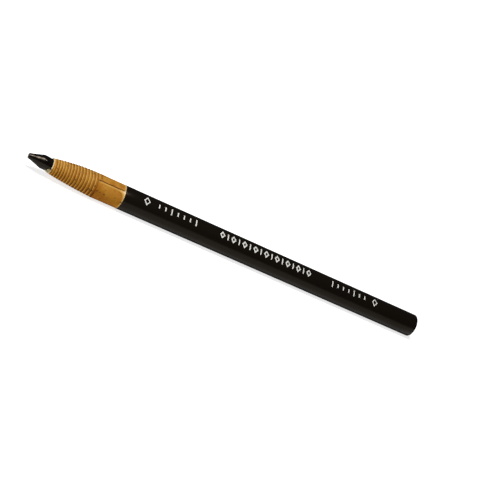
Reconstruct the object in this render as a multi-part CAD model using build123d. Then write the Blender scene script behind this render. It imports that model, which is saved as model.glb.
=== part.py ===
from build123d import *
import os
from math import cos, degrees, radians, sin

# Peel-off china marker, lying along X with its writing tip at -X, resting on Z = 0.
# Lengths are in millimetres. U is the distance from the writing tip along the marker.

LENGTH = 177.8                # tip to rear face, 7 inches

# Wax core
CORE_DIAMETER = 5.2
POINT_DIAMETER = 2.2          # blunt end of the writing tip
NOSE_DIAMETER = 2.9           # where the slim nose meets the cone
NOSE_LENGTH = 1.8
CONE_LENGTH = 3.7
POINT_CHAMFER = 0.25

# Scroll-wound paper
PAPER_THICKNESS = 0.1
START_LAYERS = 3              # sheets glued together in the first turn, which is cut square
TURNS = 17
CORE_CLEARANCE = 0.04         # between the core and the innermost turn
TURN_PARTING_GAP = 0.05       # along the sheet, between the end of one turn and the start of the next
SEAM_ANGLE = 117.0            # where the sheet ends, from +Y towards +Z
PAPER_FRONT_OFFSET = 8.95     # U of the first turn's front
SLANT_FRONT_OFFSET = 9.5      # U where the slanted edge begins, on the second turn
FIRST_STEP_LENGTH = 0.945     # how far the sheet's edge falls back in the second turn
LAST_STEP_LENGTH = 1.36       # the same in the outermost turn
CORNER_LENGTH = 0.6           # snipped corner where the slanted edge meets the seam, along the marker
CORNER_WIDTH = 0.5            # the same, round the marker

# Black cover sheet
COVER_FRONT_OFFSET = 37.9     # U of its front edge
COVER_THICKNESS = 0.17
COVER_SEAM_WIDTH = 0.08       # open joint between the two edges of the sheet
COVER_SEAM_ANGLE = 317.5

# The bare band of paper ahead of the cover is torn off as one peel
TEAR_GAP = 0.05

# Pull string, laid in a groove of the core
STRING_DIAMETER = 0.6
STRING_CLEARANCE = 0.05
STRING_FRONT_OFFSET = 7.4     # U of its cut end
STRING_ANGLE = 225.0

core_radius = CORE_DIAMETER / 2
wound_radius = core_radius + CORE_CLEARANCE + (START_LAYERS + TURNS - 0.5) * PAPER_THICKNESS
barrel_radius = wound_radius + COVER_THICKNESS


def direction(angle):
    """Unit vector in a cross-section, as (Y, Z), at an angle from +Y towards +Z."""
    return Vector(cos(radians(angle)), sin(radians(angle)))


# A scroll is drawn from two centres half a sheet apart along the seam: the outer half of each turn is
# centred on the barrel, and its inner half, like the core, on the core's own axis.
seam = direction(SEAM_ANGLE)
barrel_axis = Vector(0, barrel_radius)
core_axis = barrel_axis - seam * (PAPER_THICKNESS / 2)


def section(u):
    """Cross-section plane at U, drawn in (Y, Z) and facing +X."""
    return Plane.YZ.offset(u - LENGTH / 2)


def edge_position(turns_wound):
    """U of the sheet's slanted front edge after so many turns, from the second turn on."""
    growth = (LAST_STEP_LENGTH - FIRST_STEP_LENGTH) / (2 * (TURNS - 1))
    slanted = turns_wound - 1
    return SLANT_FRONT_OFFSET + FIRST_STEP_LENGTH * slanted + growth * slanted ** 2


def thickness(turn):
    """Thickness of a turn: the first is several sheets thick."""
    return PAPER_THICKNESS * (START_LAYERS if turn == 1 else 1)


def half_ring(centre, inner, wall, start_angle, sweep, u_front, u_rear):
    """A wall of paper over about half a turn."""
    inner_arc = CenterArc(centre, inner, start_angle, sweep)
    outer_arc = CenterArc(centre, inner + wall, start_angle, sweep)
    first_end = Line(inner_arc @ 0, outer_arc @ 0)
    last_end = Line(inner_arc @ 1, outer_arc @ 1)
    face = make_face([inner_arc, last_end, outer_arc, first_end])
    return extrude(section(u_front) * face, amount=u_rear - u_front)


def inner_radius(turn):
    """Inner radius of a turn's outer half, measured from the barrel's axis."""
    layers_below = START_LAYERS + turn - 2 if turn > 1 else 0
    return core_radius + CORE_CLEARANCE + (layers_below + 0.5) * PAPER_THICKNESS


def slant_cut(half, radius, u_hinge, u_seam):
    """Trim a half turn's front from u_hinge, opposite the seam, to u_seam, at the seam."""
    hinge = barrel_axis - seam * radius
    rise = 2 * radius
    origin = (u_hinge - LENGTH / 2, hinge.X, hinge.Y)
    across = (0, -seam.Y, seam.X)
    along = (u_seam - u_hinge, seam.X * rise, seam.Y * rise)
    normal = Vector(*along).cross(Vector(*across))
    front = Plane(origin=origin, x_dir=across, z_dir=normal)
    return split(half, bisect_by=front, keep=Keep.TOP)


def paper_turn(turn, u_front, u_rear):
    """One whole turn of the sheet, square at both ends, as its inner half and its outer half."""
    outer_start = inner_radius(turn)
    inner_start = outer_start - PAPER_THICKNESS / 2
    inner_sweep = 180 - degrees(TURN_PARTING_GAP / inner_start)
    wall = thickness(turn)
    half_way = SEAM_ANGLE + 180
    inner_half = half_ring(core_axis, inner_start, wall, half_way - inner_sweep, inner_sweep, u_front, u_rear)
    outer_half = half_ring(barrel_axis, outer_start, wall, half_way, 180, u_front, u_rear)
    return inner_half, outer_half


def snipped_corner():
    """The wedge that the outermost turn's front corner loses at the seam."""
    x_edge = edge_position(TURNS) - LENGTH / 2
    outward = (0, seam.X, seam.Y)
    bottom = barrel_axis + seam * (wound_radius - 5 * PAPER_THICKNESS)
    outer_face = Plane(origin=(x_edge, bottom.X, bottom.Y), x_dir=(1, 0, 0), z_dir=outward)
    outline = Polyline(
        (-CORNER_LENGTH, 0),
        (CORNER_LENGTH, 0),
        (0, CORNER_WIDTH),
        (-CORNER_LENGTH, CORNER_WIDTH),
        close=True,
    )
    return extrude(outer_face * make_face(outline), amount=10 * PAPER_THICKNESS)


def band_turn(turn):
    """A turn of the bare band: the first is square, the others have the sheet's slanted edge in front."""
    u_rear = COVER_FRONT_OFFSET - TEAR_GAP
    if turn == 1:
        inner_half, outer_half = paper_turn(turn, PAPER_FRONT_OFFSET, u_rear)
        return inner_half + outer_half
    u_start, u_half, u_end = (edge_position(turn - part) for part in (1, 0.5, 0))
    inner_half, outer_half = paper_turn(turn, u_start, u_rear)
    outside = inner_radius(turn) + PAPER_THICKNESS
    inner_half = slant_cut(inner_half, outside, u_half, u_start)
    outer_half = slant_cut(outer_half, outside, u_half, u_end)
    if turn == TURNS:
        outer_half -= snipped_corner()
    return inner_half + outer_half


def roll_turn(turn):
    """A turn of the paper that stays on the core under the cover."""
    inner_half, outer_half = paper_turn(turn, COVER_FRONT_OFFSET, LENGTH)
    return inner_half + outer_half


def string_axis():
    """Where the string lies in the cross-section, level with the core's surface."""
    return core_axis + direction(STRING_ANGLE) * (core_radius - STRING_DIAMETER / 2)


def wax_core():
    """The wax rod: blunt nose, cone and shank, with a groove for the string."""
    u_cone = NOSE_LENGTH + CONE_LENGTH
    profile = Polyline(
        (0, 0),
        (0, POINT_DIAMETER / 2),
        (NOSE_LENGTH, NOSE_DIAMETER / 2),
        (u_cone, core_radius),
        (LENGTH, core_radius),
        (LENGTH, 0),
        close=True,
    )
    rod = revolve(Plane.XY * make_face(profile), axis=Axis.X)
    point = rod.edges().filter_by(GeomType.CIRCLE).sort_by(Axis.X)[0]
    rod = chamfer(point, POINT_CHAMFER)
    rod = Pos(-LENGTH / 2, core_axis.X, core_axis.Y) * rod
    groove_radius = STRING_DIAMETER / 2 + STRING_CLEARANCE
    bottom = string_axis()
    slot = Pos(bottom.X, bottom.Y) * Circle(groove_radius)
    mouth = Rectangle(2 * groove_radius, CORE_DIAMETER, align=(Align.CENTER, Align.MIN))
    slot += Pos(bottom.X, bottom.Y) * Rot(0, 0, STRING_ANGLE - 90) * mouth
    return rod - extrude(section(0) * slot, amount=LENGTH)


def pull_string():
    """The cotton string under the paper, cut off just ahead of the paper's edge."""
    centre = string_axis()
    thread = Pos(centre.X, centre.Y) * Circle(STRING_DIAMETER / 2)
    return extrude(section(STRING_FRONT_OFFSET) * thread, amount=LENGTH - STRING_FRONT_OFFSET)


def cover():
    """The black sheet rolled round the wrapper, its two edges a hair apart along the seam."""
    ring = Circle(barrel_radius) - Circle(wound_radius)
    joint = Rectangle(2 * barrel_radius, COVER_SEAM_WIDTH, align=(Align.MIN, Align.CENTER))
    ring -= Rot(0, 0, COVER_SEAM_ANGLE) * joint
    ring = Pos(barrel_axis.X, barrel_axis.Y) * ring
    return extrude(section(COVER_FRONT_OFFSET) * ring, amount=LENGTH - COVER_FRONT_OFFSET)


pieces = {"wax_core": wax_core(), "pull_string": pull_string(), "cover": cover()}
for number in range(1, TURNS + 1):
    pieces[f"band_turn_{number:02d}"] = band_turn(number)
    pieces[f"roll_turn_{number:02d}"] = roll_turn(number)

os.makedirs("parts", exist_ok=True)
for name, solid in pieces.items():
    export_step(solid, f"parts/{name}.step")
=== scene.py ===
import math
import random

import bmesh
import bpy
from mathutils import Matrix, Vector, noise


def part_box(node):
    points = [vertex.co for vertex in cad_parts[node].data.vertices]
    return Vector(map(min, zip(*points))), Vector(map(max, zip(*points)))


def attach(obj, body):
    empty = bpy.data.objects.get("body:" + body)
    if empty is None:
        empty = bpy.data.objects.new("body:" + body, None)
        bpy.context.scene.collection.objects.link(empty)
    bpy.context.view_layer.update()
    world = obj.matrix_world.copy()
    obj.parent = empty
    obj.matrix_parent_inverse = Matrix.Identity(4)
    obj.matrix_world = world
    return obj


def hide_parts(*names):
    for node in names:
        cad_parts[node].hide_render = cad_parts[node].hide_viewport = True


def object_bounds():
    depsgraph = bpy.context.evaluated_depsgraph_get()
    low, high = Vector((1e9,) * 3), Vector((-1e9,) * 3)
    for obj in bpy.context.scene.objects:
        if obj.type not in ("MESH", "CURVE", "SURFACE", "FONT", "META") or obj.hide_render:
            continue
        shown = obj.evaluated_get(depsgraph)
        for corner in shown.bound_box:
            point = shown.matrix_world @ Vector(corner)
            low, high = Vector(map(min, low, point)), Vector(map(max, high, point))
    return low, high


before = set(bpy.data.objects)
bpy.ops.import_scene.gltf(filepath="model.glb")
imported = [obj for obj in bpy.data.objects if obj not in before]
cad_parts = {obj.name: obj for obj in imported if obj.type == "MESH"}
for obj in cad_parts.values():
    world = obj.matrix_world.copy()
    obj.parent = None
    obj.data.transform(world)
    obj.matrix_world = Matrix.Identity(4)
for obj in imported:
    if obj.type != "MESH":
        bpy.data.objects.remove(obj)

bl_info = {
    "name": "China Marker",
    "version": (1, 0, 0),
    "blender": (4, 5, 0),
    "location": "View3D > Sidebar > China Marker",
    "description": "Dresses a peel-off china marker: wax core, kraft paper, pull string and black cover",
    "category": "Add Mesh",
}

MM = 0.001

# Sizes and places read from the packed solids, in metres
CAD_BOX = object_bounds()
CORE_LOW, CORE_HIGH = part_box("wax_core")
COVER_LOW, COVER_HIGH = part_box("cover")
STRING_LOW, STRING_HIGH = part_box("pull_string")
BAND_NODES = sorted(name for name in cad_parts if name.startswith("band_turn_"))
ROLL_NODES = sorted(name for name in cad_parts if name.startswith("roll_turn_"))
TURNS = len(BAND_NODES)

TIP_X = CORE_LOW.x
REAR_X = CORE_HIGH.x
CORE_LENGTH = REAR_X - TIP_X
COVER_FRONT_X = COVER_LOW.x
COVER_LENGTH = REAR_X - COVER_FRONT_X
STRING_LENGTH = STRING_HIGH.x - STRING_LOW.x
BAND_FRONT_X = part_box(BAND_NODES[0])[0].x
BAND_REAR_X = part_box(BAND_NODES[0])[1].x
CORE_RADIUS = (CORE_HIGH.y - CORE_LOW.y) / 2
BARREL_RADIUS = (COVER_HIGH.z - COVER_LOW.z) / 2
STRING_RADIUS = (STRING_HIGH.y - STRING_LOW.y) / 2


def node_width(name):
    """A node's size across the marker, along Y."""
    low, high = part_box(name)
    return high.y - low.y


def across(low, high):
    """The (Y, Z) of a box's middle."""
    return Vector(((low.y + high.y) / 2, (low.z + high.z) / 2))


# The core lies half a sheet off the barrel's axis, towards the side opposite the paper's lap seam
SHEET = (node_width(ROLL_NODES[-1]) - node_width(ROLL_NODES[0])) / (2 * (TURNS - 1))
BARREL_AXIS = across(COVER_LOW, COVER_HIGH)
CORE_AXIS = across(CORE_LOW, CORE_HIGH)
STRING_AXIS = across(STRING_LOW, STRING_HIGH)
SEAM = (BARREL_AXIS - CORE_AXIS).normalized()
SEAM_ANGLE = math.atan2(SEAM.y, SEAM.x)

# The paper is a spiral: its inner radius grows from ROLL_START by one sheet in each turn. LAST_SIDES is
# the mean winding of the outermost face at its two sides along Y, and the cover lies on its outer half.
OUTER_HALF = 0.75
ROLL_AXIS = BARREL_AXIS - SEAM * (SHEET / 4)
LAST_SIDES = TURNS + OUTER_HALF - (SEAM_ANGLE / math.tau) % 0.5
ROLL_START = node_width(ROLL_NODES[-1]) / 2 - SHEET * LAST_SIDES
WOUND_RADIUS = ROLL_START + SHEET * (TURNS + OUTER_HALF)


def parabola(knots, heights):
    """Start, slope and curve of the parabola through three points."""
    (a, b, c), (p, q, r) = knots, heights
    curve = ((r - p) / (c - a) - (q - p) / (b - a)) / (c - b)
    slope = (q - p) / (b - a) - curve * (a + b)
    return p - slope * a - curve * a * a, slope, curve


# The sheet's slanted front edge, through the front ends of three of the solids
SLANT_TURNS = (1, TURNS // 2, TURNS - 1)
SLANT_FRONTS = [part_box(BAND_NODES[n])[0].x for n in SLANT_TURNS]
SLANT_START, SLANT_RISE, SLANT_CURVE = parabola(SLANT_TURNS, SLANT_FRONTS)


def edge_x(turns):
    """X of the sheet's slanted front edge after so many turns, from the second turn on."""
    return SLANT_START + SLANT_RISE * turns + SLANT_CURVE * turns * turns


def linear(code):
    """An sRGB hex colour as linear red, green, blue and alpha."""
    channels = [int(code[i:i + 2], 16) / 255 for i in (1, 3, 5)]
    return (*[c / 12.92 if c <= 0.04045 else ((c + 0.055) / 1.055) ** 2.4 for c in channels], 1.0)


def color_property(name, description, code):
    """A colour that a user may change, given as sRGB hex."""
    return bpy.props.FloatVectorProperty(
        name=name, description=description, subtype="COLOR", size=4, min=0, max=1, default=linear(code))


def length_property(name, description, millimetres):
    """A length that a user may change."""
    return bpy.props.FloatProperty(
        name=name, description=description, unit="LENGTH", precision=5, default=millimetres * MM)


def angle_property(name, description, degrees):
    """An angle that a user may change. Round the marker it is measured from +Y towards +Z."""
    return bpy.props.FloatProperty(
        name=name, description=description, subtype="ANGLE", default=math.radians(degrees))


class PaperSettings(bpy.types.PropertyGroup):
    """Kraft paper wrapper"""
    lip: length_property("Lip", "Width of the pale cut edge of each turn", 0.22)
    lift: length_property("Lift", "How far the cut edges stand off the turn below", 0.05)
    waviness: length_property("Waviness", "How far the cut edges wander along the marker", 0.09)
    flare: length_property("Flare", "How far the cut edges flare out at the fullest turn", 0.30)
    flare_bias: bpy.props.FloatProperty(
        name="Flare bias", description="How much more the edges flare on one side", subtype="FACTOR",
        default=0.5, min=0, max=1)
    flare_angle: angle_property("Flare angle", "Which side flares most", 63)
    flare_length: length_property("Flare length", "How far back the flare dies away", 2.4)
    swell: length_property("Swell", "How much fuller the bare band is than the roll under the cover", 0.12)
    corner_length: length_property("Corner length", "Snipped corner at the lap seam, along the marker", 0.6)
    corner_width: length_property("Corner width", "Snipped corner at the lap seam, round the marker", 0.5)
    flap_lift: length_property("Flap lift", "How far the sheet's outer end stands off at the lap seam", 0.05)
    kraft: color_property("Kraft", "Face of the kraft paper", "#C08A36")
    kraft_dark: color_property("Dark kraft", "Darker clouds in the paper", "#AA6E22")
    cut_edge: color_property("Cut edge", "Torn fibres along the cut edges", "#EABC6A")
    square_cut: color_property("Square cut", "Clean front end of the first turn, cut square", "#FFF0C8")
    # Painted shade at the foot of each turn, where the next turn steps up, with some glue
    foot: color_property("Foot", "Dirt and glue at the foot of each turn", "#5A2E06")
    # Painted shade: a browner, darker tint multiplied into the paper towards the bottom
    underside_shade: color_property("Aged", "Tint of the browner underside", "#F7E6A8")
    fleck: color_property("Fleck", "Bark flecks in the paper", "#5A3A10")


class CoverSettings(bpy.types.PropertyGroup):
    """Black coated-paper cover"""
    edge_round: length_property("Edge rounding", "Rounding of the cover's ends", 0.05)
    joint: length_property("Joint", "Open joint between the sheet's two edges", 0.08)
    joint_angle: angle_property("Joint angle", "Where the joint runs", 317.5)
    black: color_property("Black", "Coated face", "#14100C")
    paper: color_property("Paper edge", "Cut edge of the cover sheet", "#8C6F4C")


class ImprintSettings(bpy.types.PropertyGroup):
    """White ornament on the cover"""
    start: length_property("Start", "Distance of the ornament's front end from the writing tip", 47)
    end: length_property("End", "Distance of the ornament's rear end from the writing tip", 155)
    height: length_property("Height", "Height of the tallest motifs, round the barrel", 3.2)
    stroke: length_property("Stroke", "Width of the printed lines", 0.5)
    angle: angle_property("Angle", "Where the ornament runs", 121)
    ink: color_property("Ink", "White ink", "#EFEDE6")


class CoreSettings(bpy.types.PropertyGroup):
    """Wax core"""
    point: length_property("Point", "Diameter of the blunt writing end", 2.1)
    nose: length_property("Nose", "Diameter where the nose meets the cone", 2.9)
    nose_length: length_property("Nose length", "Length of the slim nose", 1.8)
    cone_length: length_property("Cone length", "Length of the cone behind the nose", 3.7)
    bevel: length_property("Bevel", "Rounding of the blunt writing end", 0.12)
    lean: length_property("Lean", "How far the tip stands off the core's axis", 0.19)
    lean_start: length_property("Lean start", "Distance from the tip at which the core starts to lean", 9)
    lean_length: length_property("Lean length", "Length over which the lean grows", 2.5)
    lean_angle: angle_property("Lean angle", "Which way the tip leans", 63)
    lump: length_property("Lump", "Height of the small lump of wax behind the cone", 0.17)
    lump_size: length_property("Lump size", "Radius of the lump", 0.6)
    lump_place: length_property("Lump place", "Distance of the lump from the tip", 6.6)
    lump_angle: angle_property("Lump angle", "Where the lump sits", 137)
    groove: length_property("Groove", "Room between the string and its groove", 0.05)
    wax: color_property("Wax", "Pigmented wax", "#0B0908")


class StringSettings(bpy.types.PropertyGroup):
    """Cotton pull string"""
    plies: bpy.props.IntProperty(name="Plies", description="Twisted plies", default=3, min=2, max=5)
    pitch: length_property("Pitch", "Length of one full twist", 1.9)
    fray: length_property("Fray", "Length of the loose fibres at the cut end", 1.2)
    fibres: bpy.props.IntProperty(
        name="Fibres", description="Loose fibres at the cut end", default=100, min=0)
    fibre: length_property("Fibre", "Radius of a loose fibre at its root", 0.06)
    cotton: color_property("Cotton", "Unbleached cotton", "#F0E0AA")


class StageSettings(bpy.types.PropertyGroup):
    """Floor and camera"""
    azimuth: angle_property("Azimuth", "Camera's bearing, 0 looks along +Y", -27.65)
    elevation: angle_property("Elevation", "Camera's height above the horizon", 23.73)
    roll: angle_property("Roll", "Clockwise turn of the picture", 36.01)
    distance: length_property("Distance", "Camera to the point it looks at", 479.4)
    lens: bpy.props.FloatProperty(
        name="Lens", description="Focal length in millimetres", unit="CAMERA", default=92.59)
    floor: color_property("Floor", "Pale floor", "#F2F2F2")


class MarkerSettings(bpy.types.PropertyGroup):
    """Sizes and colours of the china marker"""
    paper: bpy.props.PointerProperty(name="Paper", description="Kraft paper wrapper", type=PaperSettings)
    cover: bpy.props.PointerProperty(name="Cover", description="Black cover", type=CoverSettings)
    imprint: bpy.props.PointerProperty(name="Imprint", description="White ornament", type=ImprintSettings)
    core: bpy.props.PointerProperty(name="Core", description="Wax core", type=CoreSettings)
    string: bpy.props.PointerProperty(name="String", description="Cotton pull string", type=StringSettings)
    stage: bpy.props.PointerProperty(name="Stage", description="Floor and camera", type=StageSettings)


GROUPS = {
    "paper": PaperSettings,
    "cover": CoverSettings,
    "imprint": ImprintSettings,
    "core": CoreSettings,
    "string": StringSettings,
    "stage": StageSettings,
}


def settings():
    """All the settings that the panel shows."""
    return bpy.context.scene.china_marker


# Places of a colour Mix node's sockets, whose names its other kinds share
MIX_A, MIX_B, MIXED = 6, 7, 2


def add(tree, kind, inputs=None, **options):
    """Add a node, set its options, and set or link its inputs."""
    made = tree.nodes.new(kind)
    for name, value in options.items():
        setattr(made, name, value)
    for name, value in (inputs or {}).items():
        if isinstance(value, bpy.types.NodeSocket):
            tree.links.new(value, made.inputs[name])
        else:
            made.inputs[name].default_value = value
    return made


def new_material(name):
    """An empty material with its output, ready for nodes."""
    material = bpy.data.materials.new(name)
    material.use_nodes = True
    tree = material.node_tree
    tree.nodes.clear()
    return material, tree, tree.nodes.new("ShaderNodeOutputMaterial")


def smoothstep(value):
    """0 below 0, 1 above 1, with an eased rise between."""
    value = min(max(value, 0.0), 1.0)
    return value * value * (3 - 2 * value)


SEED_SPACING = 7.31     # how far apart in the noise two seeds lie


def wander(seed, angle, scale):
    """Smooth noise, about -1 to 1, that closes on itself once round the marker."""
    return noise.noise(Vector((math.cos(angle) * scale, math.sin(angle) * scale, seed * SEED_SPACING)))


def on_roll(axis, radius, angle, x):
    """A point at a radius and angle round an axis that runs along X."""
    return Vector((x, axis.x + radius * math.cos(angle), axis.y + radius * math.sin(angle)))


def leaned(point):
    """Where the slightly bent tip holds a point of the straight core."""
    core = settings().core
    lean = core.lean * smoothstep((core.lean_start - (point.x - TIP_X)) / core.lean_length)
    return point + lean * Vector((0, math.cos(core.lean_angle), math.sin(core.lean_angle)))


MERGE_DISTANCE = 0.0005 * MM


def close_up(bm):
    """Merge the edges of rolled-up grids, close their open ends and turn the faces outwards."""
    bmesh.ops.remove_doubles(bm, verts=bm.verts, dist=MERGE_DISTANCE)
    ends = [edge for edge in bm.edges if edge.is_boundary]
    bmesh.ops.holes_fill(bm, edges=ends, sides=0)
    bmesh.ops.recalc_face_normals(bm, faces=bm.faces)


def new_piece(name, bm, body, material, stands_for=(), sharp=35):
    """Make the finished mesh an object that rides on its body."""
    mesh = bpy.data.meshes.new(name)
    bm.to_mesh(mesh)
    bm.free()
    mesh.shade_smooth()
    mesh.set_sharp_from_angle(angle=math.radians(sharp))
    mesh.materials.append(material)
    piece = bpy.data.objects.new(name, mesh)
    bpy.context.scene.collection.objects.link(piece)
    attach(piece, body)
    if stands_for:
        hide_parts(*stands_for)


def rolled_sheet(around, section, place, bunch=0.0):
    """Roll a flat grid up: columns run round the marker and rows go round the sheet's own section.

    place(share, point) takes a point of the section at a share of the way round. It gives the point's
    position, its place on the flat sheet in millimetres, along the winding and back from a cut edge, and
    its tread, from which the material is shaded. bunch, below 1, draws the columns together at the
    sheet's two ends.
    """
    bm = bmesh.new()
    rows = len(section)
    bmesh.ops.create_grid(bm, x_segments=around, y_segments=rows, size=0.5)
    flat = bm.loops.layers.uv.new("sheet")
    tread = bm.verts.layers.float.new("tread")
    on_sheet = {}
    for vert in bm.verts:
        row = round((vert.co.y + 0.5) * rows) % rows
        way = vert.co.x + 0.5
        share = way - math.sin(math.tau * way) * bunch / math.tau
        vert.co, on_sheet[vert], vert[tread] = place(share, section[row])
    for face in bm.faces:
        for loop in face.loops:
            loop[flat].uv = on_sheet[loop.vert]
    close_up(bm)
    return bm


# Patterns in the kraft paper. Its real fibres are about 0.03 mm wide, and are drawn coarser to show.
CLOUD_SIZE = 3.0 * MM
FIBRE_WIDTH = 0.11 * MM
FLECK_SPACING = 1.5 * MM

# Heights above the floor over which the underside's painted shade and painted light on its edges fade out
SHADE_CHANGES = {"From Min": 2.8 * MM, "From Max": 4.6 * MM}


def kraft_face(tree, here, fibres):
    """Colour of the paper's face: darker clouds, and streaks along the fibres."""
    paper = settings().paper
    clouds = add(tree, "ShaderNodeTexNoise", {"Vector": here, "Scale": 1 / CLOUD_SIZE, "Detail": 4.0})
    cloudy = add(tree, "ShaderNodeMapRange", {
        "Value": clouds.outputs["Fac"], "From Min": 0.35, "From Max": 0.65})
    plain = add(tree, "ShaderNodeMix", {
        "Factor": cloudy.outputs[0], MIX_A: paper.kraft, MIX_B: paper.kraft_dark}, data_type="RGBA")
    streak = add(tree, "ShaderNodeMapRange", {
        "Value": fibres, "From Min": 0.3, "From Max": 0.7, "To Min": 0.80, "To Max": 1.16})
    streaked = add(tree, "ShaderNodeMix", {
        "Factor": 1.0, MIX_A: plain.outputs[MIXED], MIX_B: streak.outputs[0]},
        data_type="RGBA", blend_type="MULTIPLY")
    return streaked.outputs[MIXED]


def kraft_flecks(tree, here):
    """How much a bark fleck covers the paper: about one cell in four of a scatter has one."""
    cells = add(tree, "ShaderNodeTexVoronoi", {"Vector": here, "Scale": 1 / FLECK_SPACING})
    chance = add(tree, "ShaderNodeSeparateColor", {"Color": cells.outputs["Color"]})
    rare = add(tree, "ShaderNodeMath", {0: chance.outputs["Red"], 1: 0.74}, operation="GREATER_THAN")
    spot = add(tree, "ShaderNodeMapRange", {
        "Value": cells.outputs["Distance"], "From Min": 0.12, "From Max": 0.34,
        "To Min": 0.85, "To Max": 0.0})
    flecks = add(tree, "ShaderNodeMath", {0: rare.outputs[0], 1: spot.outputs[0]}, operation="MULTIPLY")
    return flecks.outputs[0]


def kraft_shade_and_glue(tree, height):
    """Painted shade and glue on the paper: at each turn's foot, deeper low down, and in the lap seam."""
    tread = add(tree, "ShaderNodeAttribute", attribute_name="tread").outputs["Fac"]
    # The painted shade reaches further from each foot towards the bottom
    reach = add(tree, "ShaderNodeMapRange", {
        "Value": height, **SHADE_CHANGES, "To Min": 0.22, "To Max": 0.45})
    # Painted shade: the dark at each foot deepens towards the bottom of the marker
    lower_shade = add(tree, "ShaderNodeMapRange", {
        "Value": height, "From Min": 3.5 * MM, "From Max": 8.0 * MM, "To Min": 0.95, "To Max": 0.5})
    near_foot = add(tree, "ShaderNodeMapRange", {
        "Value": tread, "From Min": reach.outputs[0], "From Max": 0.95,
        "To Min": 0.0, "To Max": lower_shade.outputs[0]})
    # Painted shadow under the flap's edge in the lap seam, with glue
    in_seam = add(tree, "ShaderNodeMapRange", {
        "Value": tread, "From Min": 0.9, "From Max": 1.3, "To Min": 0.0, "To Max": 0.9})
    shade_and_glue = add(tree, "ShaderNodeMath", {
        0: near_foot.outputs[0], 1: in_seam.outputs[0]}, operation="MAXIMUM")
    return shade_and_glue.outputs[0]


def torn_fibres(tree, height, fibres, from_cut, shade_and_glue):
    """How much of a cut edge's pale torn fibres shows, where no painted shade or glue covers them."""
    lip = settings().paper.lip / MM
    ragged = add(tree, "ShaderNodeMath", {0: fibres, 1: 0.3, 2: from_cut}, operation="MULTIPLY_ADD")
    # Wider pale edges towards the bottom: painted light caught by the lips
    width = add(tree, "ShaderNodeMapRange", {
        "Value": height, **SHADE_CHANGES, "To Min": lip * 3.4, "To Max": lip * 2.4})
    pale = add(tree, "ShaderNodeMapRange", {
        "Value": ragged.outputs[0], "From Min": lip * 0.6, "From Max": width.outputs[0],
        "To Min": 0.9, "To Max": 0.0})
    unshaded = add(tree, "ShaderNodeMath", {0: 1.0, 1: shade_and_glue}, operation="SUBTRACT")
    torn = add(tree, "ShaderNodeMath", {0: pale.outputs[0], 1: unshaded.outputs[0]}, operation="MULTIPLY")
    return torn.outputs[0]


def kraft_paper():
    """Unbleached kraft: matte, cloudy, with fine long fibres, bark flecks and pale torn edges."""
    paper = settings().paper
    material, tree, output = new_material("kraft_paper")
    sheet = add(tree, "ShaderNodeUVMap", uv_map="sheet").outputs["UV"]
    from_cut = add(tree, "ShaderNodeSeparateXYZ", {"Vector": sheet}).outputs["Y"]
    here = add(tree, "ShaderNodeTexCoord").outputs["Object"]
    height = add(tree, "ShaderNodeSeparateXYZ", {"Vector": here}).outputs["Z"]
    stretch = add(tree, "ShaderNodeMapping", {"Vector": here, "Scale": (0.12, 1.0, 1.0)})
    fibres = add(tree, "ShaderNodeTexNoise", {
        "Vector": stretch.outputs["Vector"], "Scale": 1 / FIBRE_WIDTH, "Detail": 3.0,
        "Roughness": 0.6}).outputs["Fac"]
    shade_and_glue = kraft_shade_and_glue(tree, height)
    # Painted shade and glue darken the paper towards the foot colour
    shaded_and_glued = add(tree, "ShaderNodeMix", {
        "Factor": shade_and_glue, MIX_A: kraft_face(tree, here, fibres), MIX_B: paper.foot}, data_type="RGBA")
    torn = torn_fibres(tree, height, fibres, from_cut, shade_and_glue)
    edged = add(tree, "ShaderNodeMix", {
        "Factor": torn, MIX_A: shaded_and_glued.outputs[MIXED], MIX_B: paper.cut_edge}, data_type="RGBA")
    # Painted shade: the paper is tinted browner and darker towards the bottom
    under = add(tree, "ShaderNodeMapRange", {
        "Value": height, "From Min": 4.5 * MM, "From Max": 8.5 * MM, "To Min": 1.0, "To Max": 0.0})
    toned = add(tree, "ShaderNodeMix", {
        "Factor": under.outputs[0], MIX_A: edged.outputs[MIXED], MIX_B: paper.underside_shade},
        data_type="RGBA", blend_type="MULTIPLY")
    first = add(tree, "ShaderNodeMapRange", {
        "Value": from_cut, "From Min": -0.8 * paper.lip / MM, "From Max": 0.0, "To Min": 0.9, "To Max": 0.0})
    squared = add(tree, "ShaderNodeMix", {
        "Factor": first.outputs[0], MIX_A: toned.outputs[MIXED], MIX_B: paper.square_cut}, data_type="RGBA")
    flecked = add(tree, "ShaderNodeMix", {
        "Factor": kraft_flecks(tree, here), MIX_A: squared.outputs[MIXED], MIX_B: paper.fleck},
        data_type="RGBA")
    relief = add(tree, "ShaderNodeBump", {"Height": fibres, "Strength": 0.25, "Distance": 0.02 * MM})
    surface = add(tree, "ShaderNodeBsdfPrincipled", {
        "Base Color": flecked.outputs[MIXED], "Roughness": 0.8, "IOR": 1.5, "Specular IOR Level": 0.12,
        "Normal": relief.outputs["Normal"]})
    tree.links.new(surface.outputs["BSDF"], output.inputs["Surface"])
    return material


# Wear of the bare band's front edges. A reach is in widths of the pale lip.
SLOW_WAVE, FINE_WAVE, LIFT_WAVE = 1.6, 9.0, 3.0     # how quickly an edge wanders on its way round
FINE_SEED, LIFT_SEED = 40, 80                       # keep those wanderings apart
SLOW_SHARE, FINE_SHARE = 0.7, 0.5                   # of the two that wander along the marker
LIFT_MEAN, LIFT_SPREAD = 0.6, 0.8                   # of the one that lifts the edge
SNIP_POWER = 1.5                                    # hollows the snipped corner
WORN_OFF = 0.6                                      # share of the sheet's thickness lost at the edge
LIFT_REACH = 1.2                                    # back from the edge
FLAP_REACH = 1.5                                    # from the lap seam
FLARE_END = 0.6                                     # turns past the last one at which the flare would end
FLARE_POWER = 1.3                                   # draws the fullest flare up the cone
SWELL_TURNS = 4                                     # turns over which the swell grows

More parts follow.
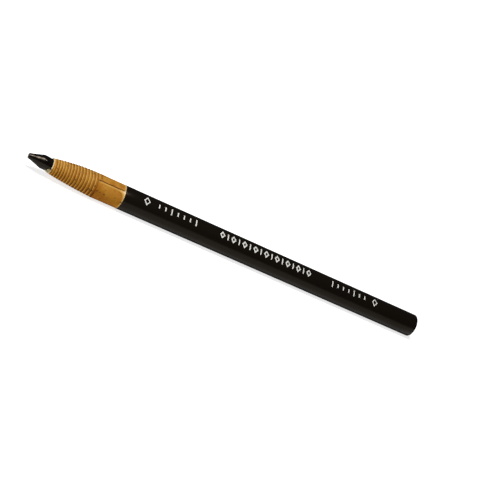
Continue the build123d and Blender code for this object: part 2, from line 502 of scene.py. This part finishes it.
# Pale and dark stretches of the sheet. A reach is in widths of the pale lip.
SQUARE_REACH = 2.2                                  # of the first turn's clean cut
SEAM_DARK = 1.5                                     # of the dark in the lap seam
SEAM_PALE = 2.6                                     # from the lap seam to the pale line beside it
RIM_PALE = 0.7                                      # of the band's pale rim ahead of the cover
RIM_FADE, REAR_FADE = 0.9, 1.3                      # how quickly that rim and the rear end's rim fade

BORE_ROOM = 0.4 * SHEET                             # between the core and the first turn


def edge_stray(number, angle, to_flap):
    """How far a worn front edge lies behind a clean cut: it wanders, and its corner is snipped."""
    paper = settings().paper
    slow = wander(number, angle, SLOW_WAVE)
    fine = wander(number + FINE_SEED, angle, FINE_WAVE)
    ragged = SLOW_SHARE * slow + FINE_SHARE * fine
    snip = paper.corner_length * max(1 - to_flap / paper.corner_width, 0.0) ** SNIP_POWER
    return snip + paper.waviness * ragged


def edge_rise(number, turns, angle, distance, height, to_flap):
    """How far a worn turn stands out from the roll: lifted at its edges, flared and swollen."""
    paper = settings().paper
    uplift = LIFT_MEAN + LIFT_SPREAD * wander(number + LIFT_SEED, angle, LIFT_WAVE)
    lift = paper.lift * max(uplift, 0.0)
    lift *= math.exp(-distance / (LIFT_REACH * paper.lip))
    lift += paper.flap_lift * math.exp(-to_flap / (FLAP_REACH * paper.lip))
    up_cone = math.sin(math.pi * (turns / (TURNS + FLARE_END)) ** FLARE_POWER)
    uneven = 1 + paper.flare_bias * math.cos(angle - paper.flare_angle)
    flare = paper.flare * uneven * up_cone * math.exp(-distance / paper.flare_length)
    swell = paper.swell * smoothstep((turns + height) / SWELL_TURNS)
    return lift + flare + swell


def inside_box(point):
    """The point, held inside the solids' box across the marker."""
    low, high = CAD_BOX
    return Vector((point.x, *(min(max(point[axis], low[axis]), high[axis]) for axis in (1, 2))))


def paper_turn(number, front, rear, distances, around, worn):
    """One turn of the wound sheet, as thick as the real one, between a front edge and a rear edge.

    front(turns) gives X of the front edge, distances are the rows behind it in metres, and worn says
    how ragged the front edge is, from 0 to 1. The tread of a bare turn is 0 at its front edge and 1 at
    the foot of the next turn, and up to 2 in the lap seam. In the roll it is 1 on the inner face.
    """
    paper = settings().paper
    section = [(distance, 1.0) for distance in reversed(distances)]
    section += [(distance, 0.0) for distance in distances]

    def place(share, point):
        distance, height = point
        turns = number - 1 + share
        angle = SEAM_ANGLE + math.tau * share
        girth = math.tau * (ROLL_START + SHEET * turns)
        from_seam = share * girth
        to_flap = (TURNS - turns) * girth
        x = min(front(turns) + worn * edge_stray(number, angle, to_flap) + distance, rear)
        bevel = 1 - worn * WORN_OFF * (1 - smoothstep(distance / paper.lip))
        radius = ROLL_START + SHEET * (turns + bevel * height)
        radius += worn * edge_rise(number, turns, angle, distance, height, to_flap)
        from_cut = distance
        if number == 1:
            from_cut = distance / 2 - paper.lip * (1 - smoothstep(distance / (SQUARE_REACH * paper.lip)))
        if not worn:
            tread = 1 - height
            from_rear = REAR_FADE * (rear - x)
        else:
            from_rear = RIM_FADE * (rear - x) - RIM_PALE * paper.lip
            if number < TURNS:
                tread = min(distance / (edge_x(turns + 1) - front(turns)), 1.0)
            else:
                # The last turn: painted shadow with glue beside the lap seam, and a pale line next to it
                tread = max(2 - from_seam / (SEAM_DARK * paper.lip), 0.0)
                from_cut = max(abs(from_seam - SEAM_PALE * paper.lip), paper.lip)
        from_cut = min(from_cut, from_rear)
        position = inside_box(on_roll(ROLL_AXIS, radius, angle, x))
        if number == 1 and not height:
            position = on_roll(CORE_AXIS, CORE_RADIUS + BORE_ROOM, angle, x)
        return position, (angle * radius / MM, from_cut / MM), tread

    return rolled_sheet(around, section, place, bunch=0.9)


# Rows of vertices behind a worn edge, in millimetres, closest where its shape changes most
WORN_ROWS = (0, 0.05, 0.11, 0.18, 0.27, 0.38, 0.55, 0.80, 1.10, 1.60, 3.0, 8.0, 18.0, 40.0)


class CHINAMARKER_OT_peel_band(bpy.types.Operator):
    """Wind the bare paper band, one piece for each turn, with pale ragged edges that step up the cone"""
    bl_idname = "china_marker.peel_band"
    bl_label = "Peel Band"

    def execute(self, context):
        kraft = kraft_paper()
        distances = [row * MM for row in WORN_ROWS]
        for number, node in enumerate(BAND_NODES, 1):
            front = edge_x if number > 1 else lambda turns: BAND_FRONT_X
            bm = paper_turn(number, front, BAND_REAR_X, distances, around=200, worn=1.0)
            new_piece(f"peel_turn_{number:02d}", bm, "peel_band", kraft, [node])
        return {"FINISHED"}


class CHINAMARKER_OT_paper_roll(bpy.types.Operator):
    """Wind the paper that stays under the cover, one piece for each turn"""
    bl_idname = "china_marker.paper_roll"
    bl_label = "Paper Roll"

    def execute(self, context):
        kraft = bpy.data.materials["kraft_paper"]
        near_end = 0.1 * MM
        distances = [0, near_end, 40 * MM, COVER_LENGTH - near_end, COVER_LENGTH]
        for number, node in enumerate(ROLL_NODES, 1):
            bm = paper_turn(number, lambda turns: COVER_FRONT_X, REAR_X, distances, around=120, worn=0.0)
            new_piece(f"roll_sheet_{number:02d}", bm, "marker", kraft, [node])
        return {"FINISHED"}


def coated_paper():
    """Black coated paper: smooth satin coating over paper, with a faint mottle in its gloss."""
    cover = settings().cover
    material, tree, output = new_material("black_coated_paper")
    here = add(tree, "ShaderNodeTexCoord").outputs["Object"]
    mottle = add(tree, "ShaderNodeTexNoise", {"Vector": here, "Scale": 1 / (1.2 * MM), "Detail": 3.0})
    tooth = add(tree, "ShaderNodeTexNoise", {"Vector": here, "Scale": 1 / (0.15 * MM), "Detail": 2.0})
    gloss = add(tree, "ShaderNodeMapRange", {
        "Value": mottle.outputs["Fac"], "From Min": 0.3, "From Max": 0.7, "To Min": 0.20, "To Max": 0.27})
    cut = add(tree, "ShaderNodeAttribute", attribute_name="tread").outputs["Fac"]
    color = add(tree, "ShaderNodeMix", {
        "Factor": cut, MIX_A: cover.black, MIX_B: cover.paper}, data_type="RGBA")
    relief = add(tree, "ShaderNodeBump", {
        "Height": tooth.outputs["Fac"], "Strength": 0.10, "Distance": 0.01 * MM})
    surface = add(tree, "ShaderNodeBsdfPrincipled", {
        "Base Color": color.outputs[MIXED], "Roughness": gloss.outputs[0], "IOR": 1.42,
        "Specular IOR Level": 0.22, "Specular Tint": linear("#FFE9CC"), "Normal": relief.outputs["Normal"]})
    tree.links.new(surface.outputs["BSDF"], output.inputs["Surface"])
    return material


class CHINAMARKER_OT_cover(bpy.types.Operator):
    """Roll the black cover sheet round the paper, with softened ends and a hairline joint"""
    bl_idname = "china_marker.cover"
    bl_label = "Cover"

    def execute(self, context):
        cover = settings().cover
        soft = cover.edge_round
        cut_width = soft * 0.2
        near_end = [0, soft * 0.3, soft, 6 * MM]
        rows = near_end + [COVER_LENGTH * share for share in (0.25, 0.5, 0.75)]
        rows += [COVER_LENGTH - row for row in reversed(near_end)]
        section = [(row, 1.0) for row in reversed(rows)] + [(row, 0.0) for row in (0, COVER_LENGTH)]
        gap = cover.joint / BARREL_RADIUS

        def place(share, point):
            distance, height = point
            angle = cover.joint_angle + gap / 2 + share * (math.tau - gap)
            from_end = min(distance, COVER_LENGTH - distance)
            drop = soft * (1 - math.sqrt(1 - (1 - min(from_end / soft, 1.0)) ** 2))
            radius = BARREL_RADIUS - drop if height else WOUND_RADIUS
            position = on_roll(BARREL_AXIS, radius, angle, COVER_FRONT_X + distance)
            cut = 1.0 if height == 0 or from_end < cut_width else 0.0
            return position, (angle * BARREL_RADIUS / MM, distance / MM), cut

        bm = rolled_sheet(around=200, section=section, place=place)
        new_piece("black_cover", bm, "marker", coated_paper(), ["cover"])
        return {"FINISHED"}


def white_ink():
    """Screen-printed white ink: flat, slightly thin over the black."""
    material, tree, output = new_material("white_printing_ink")
    here = add(tree, "ShaderNodeTexCoord").outputs["Object"]
    thin = add(tree, "ShaderNodeTexNoise", {"Vector": here, "Scale": 1 / (0.35 * MM), "Detail": 2.0})
    film = add(tree, "ShaderNodeMapRange", {
        "Value": thin.outputs["Fac"], "From Min": 0.25, "From Max": 0.75, "To Min": 0.78, "To Max": 1.0})
    color = add(tree, "ShaderNodeMix", {
        "Factor": 1.0, MIX_A: settings().imprint.ink, MIX_B: film.outputs[0]},
        data_type="RGBA", blend_type="MULTIPLY")
    surface = add(tree, "ShaderNodeBsdfPrincipled", {
        "Base Color": color.outputs[MIXED], "Roughness": 0.5, "IOR": 1.5})
    tree.links.new(surface.outputs["BSDF"], output.inputs["Surface"])
    return material


def print_bar(bm, x, height, width):
    """A straight stroke across the print's line."""
    made = bmesh.ops.create_grid(bm, x_segments=1, y_segments=8, size=0.5)
    bmesh.ops.scale(bm, vec=(width, height, 1), verts=made["verts"])
    bmesh.ops.translate(bm, vec=(x, 0, 0), verts=made["verts"])


def print_lozenge(bm, x, height, width, stroke):
    """A lozenge drawn with an even stroke."""
    made = bmesh.ops.create_circle(bm, cap_ends=True, segments=4, radius=0.5)
    bmesh.ops.scale(bm, vec=(width, height, 1), verts=made["verts"])
    bmesh.ops.translate(bm, vec=(x, 0, 0), verts=made["verts"])
    face = made["verts"][0].link_faces[0]
    inner = bmesh.ops.inset_region(
        bm, faces=[face], thickness=stroke, use_boundary=True, use_even_offset=True)
    bmesh.ops.delete(bm, geom=[face], context="FACES")
    edges = list({edge for ring in inner["faces"] for edge in ring.edges})
    bmesh.ops.subdivide_edges(bm, edges=edges, cuts=5, use_grid_fill=True)


# Proportions of the ornament
LOZENGE_PITCH, LOZENGE_WIDTH = 1.6, 0.75        # in heights of the tallest motif
BAR_HEIGHT, TICK_HEIGHT = 0.8, 0.85             # the same
SHORT_TICK, END_LOZENGE = 0.6, 1.3              # in heights of a long tick
END_STROKE = 0.8                                # in strokes
MIDDLE_STRETCH, TICKS_START = 0.42, 0.60        # in halves of the ornament's length
TICKS, LONG_TICK_EVERY = 7, 4
INK_FILM = 0.006 * MM


class CHINAMARKER_OT_imprint(bpy.types.Operator):
    """Print a plain white border of lozenges and bars along the cover"""
    bl_idname = "china_marker.imprint"
    bl_label = "Imprint"

    def execute(self, context):
        imprint = settings().imprint
        tall, stroke = imprint.height, imprint.stroke
        middle = TIP_X + (imprint.start + imprint.end) / 2
        half = (imprint.end - imprint.start) / 2
        bm = bmesh.new()
        pitch = LOZENGE_PITCH * tall
        count = int(half * MIDDLE_STRETCH / pitch)
        for step in range(-count, count + 1):
            print_lozenge(bm, middle + step * pitch, tall, tall * LOZENGE_WIDTH, stroke)
            if step < count:
                print_bar(bm, middle + (step + 0.5) * pitch, tall * BAR_HEIGHT, stroke)
        tick = tall * TICK_HEIGHT
        for side in (-1, 1):
            for step in range(TICKS):
                x = middle + side * (half * TICKS_START + step * tick)
                print_bar(bm, x, tick * (SHORT_TICK if step % LONG_TICK_EVERY else 1), stroke)
            print_lozenge(bm, middle + side * half, tick * END_LOZENGE, tick, stroke * END_STROKE)
        for vert in bm.verts:
            angle = imprint.angle - vert.co.y / BARREL_RADIUS
            vert.co = on_roll(BARREL_AXIS, BARREL_RADIUS + INK_FILM, angle, vert.co.x)
        bmesh.ops.recalc_face_normals(bm, faces=bm.faces)
        new_piece("white_border", bm, "marker", white_ink())
        return {"FINISHED"}


def black_wax():
    """Pigmented wax: black, soft-edged sheen, with faint scraping lines round the cone."""
    material, tree, output = new_material("black_wax")
    here = add(tree, "ShaderNodeTexCoord").outputs["Object"]
    squeeze = add(tree, "ShaderNodeMapping", {"Vector": here, "Scale": (1.0, 0.25, 0.25)})
    scrape = add(tree, "ShaderNodeTexNoise", {
        "Vector": squeeze.outputs["Vector"], "Scale": 1 / (0.12 * MM), "Detail": 3.0})
    dents = add(tree, "ShaderNodeTexNoise", {"Vector": here, "Scale": 1 / (0.9 * MM), "Detail": 2.0})
    sheen = add(tree, "ShaderNodeMapRange", {
        "Value": dents.outputs["Fac"], "From Min": 0.3, "From Max": 0.7, "To Min": 0.22, "To Max": 0.28})
    dented = add(tree, "ShaderNodeBump", {
        "Height": dents.outputs["Fac"], "Strength": 0.06, "Distance": 0.04 * MM})
    relief = add(tree, "ShaderNodeBump", {
        "Height": scrape.outputs["Fac"], "Strength": 0.08, "Distance": 0.006 * MM,
        "Normal": dented.outputs["Normal"]})
    surface = add(tree, "ShaderNodeBsdfPrincipled", {
        "Base Color": settings().core.wax, "Roughness": sheen.outputs[0], "IOR": 1.45,
        "Specular IOR Level": 0.32, "Specular Tint": linear("#FFEBD2"), "Normal": relief.outputs["Normal"]})
    tree.links.new(surface.outputs["BSDF"], output.inputs["Surface"])
    return material


NOSE_STEPS, NOSE_POWER = 8, 1.4             # the nose widens slowly at first
CONE_STEPS = 16
SHOULDER_START, SHOULDER_END = 0.08 * MM, 0.1 * MM      # ahead of the cone's end and behind it
SHOULDER_DROP = 0.03 * MM                   # how far the shoulder is worn down
LUMP_ROWS, ROW_STEP = 33, 0.12 * MM         # close rows on the shank, where the lump sits


def core_outline():
    """The rod's half outline from tip to rear, as (distance from the tip, radius)."""
    core = settings().core
    point, nose, bevel = core.point / 2, core.nose / 2, core.bevel
    cone_end = core.nose_length + core.cone_length
    outline = [(0, 0), (0, point - 2 * bevel), (0.3 * bevel, point - bevel), (1.2 * bevel, point)]
    for step in range(1, NOSE_STEPS + 1):
        share = step / NOSE_STEPS
        outline.append((core.nose_length * share, point + (nose - point) * share ** NOSE_POWER))
    for step in range(1, CONE_STEPS):
        share = step / CONE_STEPS
        outline.append((core.nose_length + core.cone_length * share, nose + (CORE_RADIUS - nose) * share))
    shank = cone_end + SHOULDER_END
    outline += [(cone_end - SHOULDER_START, CORE_RADIUS - SHOULDER_DROP), (shank, CORE_RADIUS)]
    outline += [(shank + step * ROW_STEP, CORE_RADIUS) for step in range(1, LUMP_ROWS + 1)]
    outline += [(CORE_LENGTH * share, CORE_RADIUS) for share in (0.1, 0.2, 0.4, 0.7, 1)]
    outline.append((CORE_LENGTH, 0))
    return outline


# How handling has dented the bare wax: how far from the tip, over what length the dents fade out, how far
# apart they lie, and how deep they are as a share of the radius. The middle of each end is left flat.
HANDLED_LENGTH, HANDLED_FADE = 8 * MM, 2 * MM
DENT_SIZE, DENT_DEPTH = 1.3 * MM, 0.02
FLAT_MIDDLE = 0.2 * MM


def handled(point):
    """A point of the turned rod, from the core's axis, with the dents and the lump of handled wax."""
    core = settings().core
    from_tip = point.x - TIP_X
    off = Vector(point[1:]) - CORE_AXIS
    if off.length <= FLAT_MIDDLE:
        return off
    shown = smoothstep((HANDLED_LENGTH - from_tip) / HANDLED_FADE)
    off *= 1 + shown * DENT_DEPTH * noise.noise(point / DENT_SIZE)
    aside = off.normalized() - Vector((math.cos(core.lump_angle), math.sin(core.lump_angle)))
    apart = Vector((from_tip - core.lump_place, *(aside * off.length))).length
    return off + off.normalized() * core.lump * math.exp(-(apart / core.lump_size) ** 2)


def grooved(off):
    """The same point, pressed in where the string's groove runs."""
    radius = STRING_RADIUS + settings().core.groove
    inward = (CORE_AXIS - STRING_AXIS).normalized()
    sideways = Vector((-inward.y, inward.x))
    beside = off.dot(sideways)
    if abs(beside) >= radius:
        return off
    floor = (STRING_AXIS - CORE_AXIS).dot(inward) + math.sqrt(radius ** 2 - beside ** 2)
    return sideways * beside + inward * max(floor, off.dot(inward))


class CHINAMARKER_OT_wax_core(bpy.types.Operator):
    """Turn the wax rod with its blunt nose, cone and string groove"""
    bl_idname = "china_marker.wax_core"
    bl_label = "Wax Core"

    def execute(self, context):
        bm = bmesh.new()
        line = [bm.verts.new((TIP_X + x, CORE_AXIS.x + radius, CORE_AXIS.y)) for x, radius in core_outline()]
        edges = [bm.edges.new(pair) for pair in zip(line, line[1:])]
        bmesh.ops.spin(
            bm, geom=line + edges, cent=(0, *CORE_AXIS), axis=(1, 0, 0), angle=math.tau, steps=240,
            use_merge=True)
        bmesh.ops.remove_doubles(bm, verts=bm.verts, dist=MERGE_DISTANCE)
        for vert in bm.verts:
            off = grooved(handled(vert.co))
            vert.co = leaned(Vector((vert.co.x, *(CORE_AXIS + off))))
        bmesh.ops.recalc_face_normals(bm, faces=bm.faces)
        new_piece("wax_rod", bm, "marker", black_wax(), ["wax_core"], sharp=50)
        return {"FINISHED"}


# Cotton fibres are about 0.02 mm wide, and are drawn coarser to show
COTTON_HAIR = 0.08 * MM


def cotton_thread():
    """Unbleached cotton: matte twisted fibres with a soft sheen."""
    material, tree, output = new_material("unbleached_cotton")
    here = add(tree, "ShaderNodeTexCoord").outputs["Object"]
    hairs = add(tree, "ShaderNodeTexNoise", {"Vector": here, "Scale": 1 / COTTON_HAIR, "Detail": 3.0})
    shade = add(tree, "ShaderNodeMapRange", {
        "Value": hairs.outputs["Fac"], "From Min": 0.3, "From Max": 0.7, "To Min": 0.7, "To Max": 1.1})
    color = add(tree, "ShaderNodeMix", {
        "Factor": 1.0, MIX_A: settings().string.cotton, MIX_B: shade.outputs[0]},
        data_type="RGBA", blend_type="MULTIPLY")
    relief = add(tree, "ShaderNodeBump", {
        "Height": hairs.outputs["Fac"], "Strength": 0.4, "Distance": 0.03 * MM})
    surface = add(tree, "ShaderNodeBsdfPrincipled", {
        "Base Color": color.outputs[MIXED], "Roughness": 0.85, "Sheen Weight": 0.3, "IOR": 1.5,
        "Normal": relief.outputs["Normal"]})
    tree.links.new(surface.outputs["BSDF"], output.inputs["Surface"])
    return material


def add_tube(bm, line, sides):
    """Wrap a flat grid into a tube along a line, which is a list of (centre, radius)."""
    rings = len(line) - 1
    made = bmesh.ops.create_grid(bm, x_segments=rings, y_segments=sides, size=0.5)
    for vert in made["verts"]:
        centre, radius = line[round((vert.co.x + 0.5) * rings)]
        vert.co = on_roll(Vector(centre[1:]), radius, math.tau * vert.co.y, centre.x)


# The twisted plies
PLY_RADIUS = 0.48 * STRING_RADIUS
RINGS_PER_TWIST, PLY_SIDES = 12, 8

# The loose fibres at the string's cut end, as ranges for the dice. Angles are in radians.
FIBRE_START = (0.05, 0.3)           # ahead of the paper, in lengths of the fray
FIBRE_REACH = (0.1, 0.7)            # in lengths of the fray
FIBRE_SPREAD = (-0.52, 0.08)        # round the core, from the string
FIBRE_BEND = (-0.35, 0.15)          # further round the core at the fibre's end
FIBRE_RISE = (0.05, 0.25)           # off the core at the fibre's end, in millimetres
FIBRE_CURL, CURL_SPAN = 0.05, 5     # size of a small wave in each fibre, and how much of it there is
FIBRE_TAPER = 0.4                   # share of its thickness that a fibre loses
FIBRE_RINGS, FIBRE_SIDES = 6, 4
FRAY_SEED = 7


def string_plies():
    """The plies of the string, twisted round its own axis."""
    string = settings().string
    twists = STRING_LENGTH / string.pitch
    rings = round(twists * RINGS_PER_TWIST)
    bm = bmesh.new()
    for ply in range(string.plies):
        line = []
        for ring in range(rings + 1):
            along = ring / rings
            twist = math.tau * (twists * along + ply / string.plies)
            x = STRING_LOW.x + STRING_LENGTH * along
            line.append((on_roll(STRING_AXIS, STRING_RADIUS - PLY_RADIUS, twist, x), PLY_RADIUS))
        add_tube(bm, line, PLY_SIDES)
    close_up(bm)
    return bm


def string_fray():
    """Loose fibres that lie on the bare core ahead of the paper, where the string was cut."""
    string = settings().string
    outward = STRING_AXIS - CORE_AXIS
    string_angle = math.atan2(outward.y, outward.x)
    dice = random.Random(FRAY_SEED)
    bm = bmesh.new()
    for fibre in range(string.fibres):
        start = BAND_FRONT_X - dice.uniform(*FIBRE_START) * string.fray
        reach = string.fray * dice.uniform(*FIBRE_REACH)
        rooted = string_angle + dice.uniform(*FIBRE_SPREAD)
        bend = dice.uniform(*FIBRE_BEND)
        rise = dice.uniform(*FIBRE_RISE) * MM
        line = []
        for ring in range(FIBRE_RINGS + 1):
            along = ring / FIBRE_RINGS
            angle = rooted + bend * along + FIBRE_CURL * math.sin(along * CURL_SPAN + fibre)
            radius = CORE_RADIUS + string.fibre + rise * along
            centre = on_roll(CORE_AXIS, radius, angle, start - reach * along)
            line.append((leaned(centre), string.fibre * (1 - FIBRE_TAPER * along)))
        add_tube(bm, line, FIBRE_SIDES)
    close_up(bm)
    return bm


class CHINAMARKER_OT_pull_string(bpy.types.Operator):
    """Twist the cotton plies of the pull string and fray its cut end"""
    bl_idname = "china_marker.pull_string"
    bl_label = "Pull String"

    def execute(self, context):
        cotton = cotton_thread()
        new_piece("cotton_string", string_plies(), "string", cotton, ["pull_string"])
        new_piece("string_fray", string_fray(), "string", cotton)
        return {"FINISHED"}


# The stage, in metres and watts
FLOOR_HALF = 3.0
LAMPS = {
    "overhead": {"place": (-0.19, -0.125, 0.59), "aim": (-0.08, 0, 0), "size": (0.16, 0.22), "power": 3.65},
    "tip_side": {"place": (-0.55, -0.10, 0.30), "aim": (-0.07, 0, 0), "size": (0.30, 0.30), "power": 0.3},
}
CAMERA_TARGET = Vector((1.0, 1.5, 7.8)) * MM
SENSOR_WIDTH = 36       # millimetres, as a camera takes it
CLIP_START = 0.01
WHITE = linear("#FFFFFF")


def floor_material():
    """Pale paper sweep: near white to the camera, dim in reflections, and under the marker's soft shadow."""
    material, tree, output = new_material("pale_floor")
    path = add(tree, "ShaderNodeLightPath")
    seen = add(tree, "ShaderNodeMath", {
        0: path.outputs["Is Camera Ray"], 1: path.outputs["Is Transmission Ray"]}, operation="MAXIMUM")
    here = add(tree, "ShaderNodeTexCoord").outputs["Object"]
    away = add(tree, "ShaderNodeVectorMath", {0: here}, operation="LENGTH")
    level = add(tree, "ShaderNodeMapRange", {
        "Value": away.outputs["Value"], "From Min": 0.15, "From Max": 0.45, "To Min": 0.78, "To Max": 0.97})
    plain = add(tree, "ShaderNodeMath", {0: seen.outputs[0], 1: level.outputs[0]}, operation="MULTIPLY")
    strength = add(tree, "ShaderNodeMath", {
        0: path.outputs["Is Glossy Ray"], 1: 0.05, 2: plain.outputs[0]}, operation="MULTIPLY_ADD")
    surface = add(tree, "ShaderNodeBsdfPrincipled", {
        "Base Color": settings().stage.floor, "Roughness": 0.9, "Specular IOR Level": 0.1,
        "Emission Color": WHITE, "Emission Strength": strength.outputs[0]})
    tree.links.new(surface.outputs["BSDF"], output.inputs["Surface"])
    return material


def studio_world():
    """A dim white room, which only the camera sees as white."""
    world = bpy.data.worlds.new("studio")
    world.use_nodes = True
    tree = world.node_tree
    path = add(tree, "ShaderNodeLightPath")
    level = add(tree, "ShaderNodeMapRange", {
        "Value": path.outputs["Is Camera Ray"], "To Min": 0.03, "To Max": 1.0})
    background = tree.nodes["Background"]
    background.inputs["Color"].default_value = WHITE
    tree.links.new(level.outputs[0], background.inputs["Strength"])
    return world


def softbox(name, place, aim, size, power):
    """A rectangular lamp that faces a point."""
    lamp = bpy.data.lights.new(name, "AREA")
    lamp.shape = "RECTANGLE"
    lamp.size, lamp.size_y = size
    lamp.energy = power
    holder = bpy.data.objects.new(name, lamp)
    holder.location = place
    holder.rotation_euler = (Vector(aim) - Vector(place)).to_track_quat("-Z", "Y").to_euler()
    bpy.context.scene.collection.objects.link(holder)


def pale_floor():
    """The floor under the marker, as an object of the stage."""
    bm = bmesh.new()
    bmesh.ops.create_grid(bm, x_segments=4, y_segments=4, size=FLOOR_HALF)
    mesh = bpy.data.meshes.new("floor")
    bm.to_mesh(mesh)
    bm.free()
    mesh.materials.append(floor_material())
    floor = bpy.data.objects.new("floor", mesh)
    bpy.context.scene.collection.objects.link(floor)


def photo_camera():
    """The camera, at the bearing, height, roll and distance of the settings."""
    stage = settings().stage
    flat = math.cos(stage.elevation)
    back = Vector((
        math.sin(stage.azimuth) * flat, -math.cos(stage.azimuth) * flat, math.sin(stage.elevation)))
    right = Vector((math.cos(stage.azimuth), math.sin(stage.azimuth), 0))
    level = Matrix((right, back.cross(right), back)).transposed()
    rolled = level @ Matrix.Rotation(stage.roll, 3, "Z")
    camera = bpy.data.cameras.new("camera")
    camera.lens = stage.lens
    camera.sensor_width = SENSOR_WIDTH
    camera.clip_start = CLIP_START
    holder = bpy.data.objects.new("camera", camera)
    holder.matrix_world = Matrix.Translation(CAMERA_TARGET + back * stage.distance) @ rolled.to_4x4()
    bpy.context.scene.collection.objects.link(holder)
    return holder


class CHINAMARKER_OT_stage(bpy.types.Operator):
    """Lay the pale floor, hang the soft lamps and set the camera where the photograph was taken"""
    bl_idname = "china_marker.stage"
    bl_label = "Stage"

    def execute(self, context):
        scene = context.scene
        scene.view_settings.view_transform = "Standard"
        pale_floor()
        scene.world = studio_world()
        for name, lamp in LAMPS.items():
            softbox(name, **lamp)
        scene.camera = photo_camera()
        return {"FINISHED"}


STEPS = [
    CHINAMARKER_OT_wax_core,
    CHINAMARKER_OT_pull_string,
    CHINAMARKER_OT_peel_band,
    CHINAMARKER_OT_paper_roll,
    CHINAMARKER_OT_cover,
    CHINAMARKER_OT_imprint,
    CHINAMARKER_OT_stage,
]


class CHINAMARKER_PT_panel(bpy.types.Panel):
    """Lists the marker's settings and its pieces"""
    bl_idname = "CHINAMARKER_PT_panel"
    bl_label = "China Marker"
    bl_space_type = "VIEW_3D"
    bl_region_type = "UI"
    bl_category = "China Marker"

    def draw(self, context):
        for name, group in GROUPS.items():
            box = self.layout.box()
            box.label(text=group.__doc__)
            for value in group.__annotations__:
                box.prop(getattr(settings(), name), value)
        for step in STEPS:
            self.layout.operator(step.bl_idname)


CLASSES = [*GROUPS.values(), MarkerSettings, *STEPS, CHINAMARKER_PT_panel]


def register():
    for cls in CLASSES:
        bpy.utils.register_class(cls)
    bpy.types.Scene.china_marker = bpy.props.PointerProperty(type=MarkerSettings)


def unregister():
    del bpy.types.Scene.china_marker
    for cls in reversed(CLASSES):
        bpy.utils.unregister_class(cls)


def main():
    register()
    bpy.ops.china_marker.wax_core()
    bpy.ops.china_marker.pull_string()
    bpy.ops.china_marker.peel_band()
    bpy.ops.china_marker.paper_roll()
    bpy.ops.china_marker.cover()
    bpy.ops.china_marker.imprint()
    bpy.ops.china_marker.stage()


if __name__ == "__main__":
    main()
